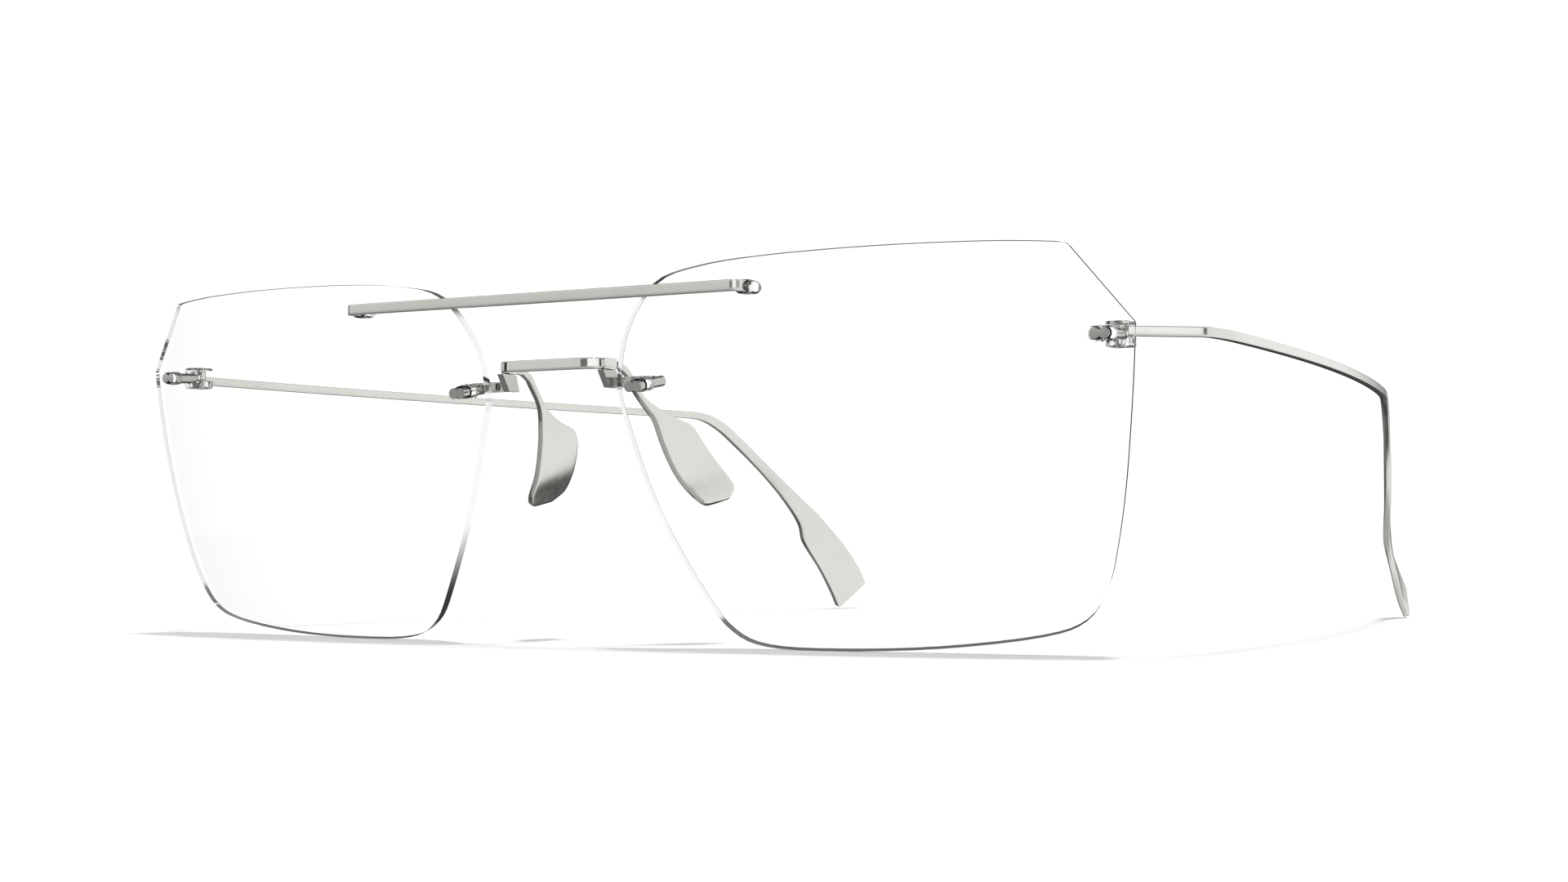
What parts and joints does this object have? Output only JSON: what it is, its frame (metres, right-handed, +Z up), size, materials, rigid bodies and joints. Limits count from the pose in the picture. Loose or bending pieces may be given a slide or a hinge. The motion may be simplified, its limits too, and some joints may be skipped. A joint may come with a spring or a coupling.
{
  "type": "eyeglasses",
  "caption": "Rimless eyeglasses with clear lenses drilled to a flat titanium brow bar, a nose bridge with metal pads, and bowed folding wire temples.",
  "frame": {"origin": "middle of the footprint, on the table that the lens edges and the temple tips rest on", "axes": "+Z up, the wearer faces -Y, +X towards the right-hand lens as seen from the front; the YZ plane is the plane of symmetry"},
  "size_m": [0.14, 0.1526, 0.0411],
  "materials": {
    "satin_titanium": "satin brushed titanium, grey",
    "polished_titanium": "polished titanium, grey",
    "clear_lens": "clear, polished, thin anti-reflection coat",
    "clear_polymer": "clear moulded polymer"
  },
  "bodies": {
    "front": {"brow_bar": "satin_titanium", "bridge": "satin_titanium", "lens_right": "clear_lens", "bar_plug_right": "clear_polymer", "nose_mount_right": "polished_titanium", "nose_sleeve_right": "clear_polymer", "nose_pad_right": "satin_titanium", "hinge_sleeve_right": "clear_polymer", "hinge_post_right": "polished_titanium", "hinge_block_right": "clear_polymer", "hinge_pin_right": "polished_titanium", "lens_left": "clear_lens", "bar_plug_left": "clear_polymer", "nose_mount_left": "polished_titanium", "nose_sleeve_left": "clear_polymer", "nose_pad_left": "satin_titanium", "hinge_sleeve_left": "clear_polymer", "hinge_post_left": "polished_titanium", "hinge_block_left": "clear_polymer", "hinge_pin_left": "polished_titanium"},
    "temple_right": {"temple_right": "satin_titanium"},
    "temple_left": {"temple_left": "satin_titanium"}
  },
  "joints": [
    {"name": "temple_right_fold", "type": "hinge", "parent": "front", "child": "temple_right", "pos_m": [0.06245, -0.06209, 0.0321], "axis": [0, 0, 1], "range_deg": [0, 82]},
    {"name": "temple_left_fold", "type": "hinge", "parent": "front", "child": "temple_left", "pos_m": [-0.06245, -0.06209, 0.0321], "axis": [0, 0, -1], "range_deg": [0, 77]}
  ]
}
